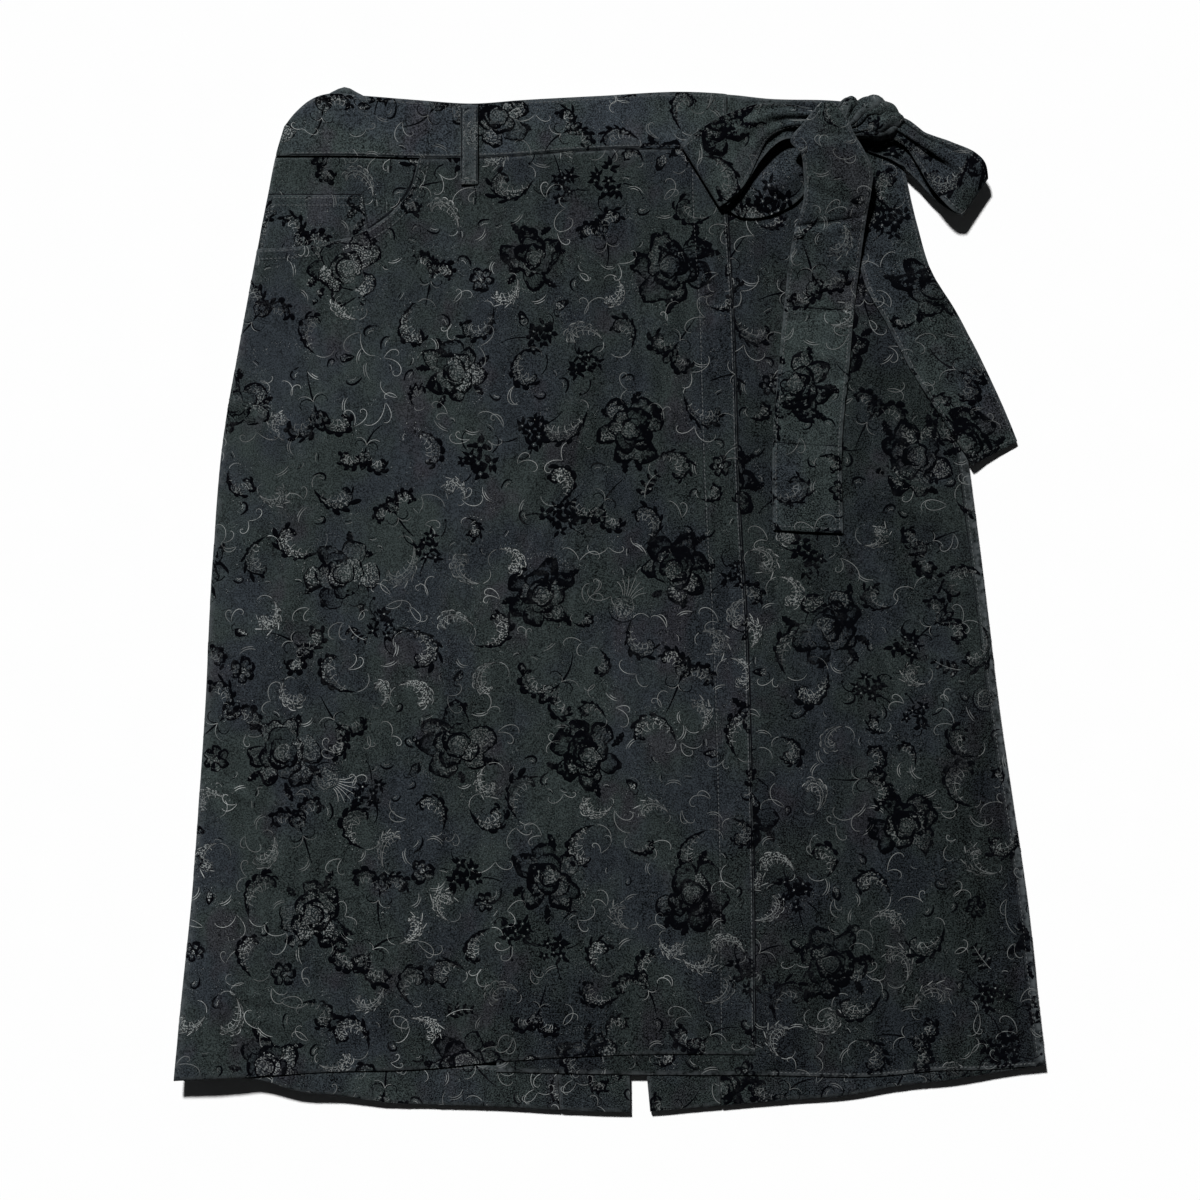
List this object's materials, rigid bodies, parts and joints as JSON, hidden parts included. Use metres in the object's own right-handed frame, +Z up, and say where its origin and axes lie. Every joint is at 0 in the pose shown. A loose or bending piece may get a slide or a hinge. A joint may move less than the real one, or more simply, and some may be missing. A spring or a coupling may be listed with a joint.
{
  "type": "wrap skirt",
  "caption": "Knee-length wrap skirt laid flat, its front lapping over an under panel and tied in a bow at the hip, with a scooped pocket, coin pocket, belt loop and back vent.",
  "frame": {"origin": "centre of the laid outline, on the surface that the skirt lies on", "axes": "+Z up from the surface, +Y from the hem to the waist, +X to the right across the laid skirt, towards the bow"},
  "size_m": [0.6514, 0.7676, 0.0283],
  "materials": {
    "jacquard": "washed charcoal cotton jacquard with a velvety black floral figure and grey outline thread",
    "turned_jacquard": "the same jacquard at turned-in hems, vent edges and the pocket backing, a little paler",
    "tie_jacquard": "the same jacquard, doubled for the tie, worn pale along its edges"
  },
  "bodies": {
    "root": {"back_left_panel": "jacquard", "back_right_panel": "jacquard", "back_waistband": "jacquard", "under_panel": "jacquard", "under_waistband": "jacquard", "wrap_panel": "jacquard", "wrap_waistband": "jacquard", "belt_loop": "jacquard", "back_left_hem": "turned_jacquard", "back_right_hem": "turned_jacquard", "vent_left_facing": "turned_jacquard", "vent_right_facing": "turned_jacquard", "pocket_backing": "turned_jacquard", "coin_pocket": "turned_jacquard", "tie_lead": "tie_jacquard", "front_tail": "tie_jacquard", "side_tail": "tie_jacquard", "bow_left_loop": "tie_jacquard", "bow_right_loop": "tie_jacquard", "bow_knot": "tie_jacquard"}
  },
  "joints": []
}
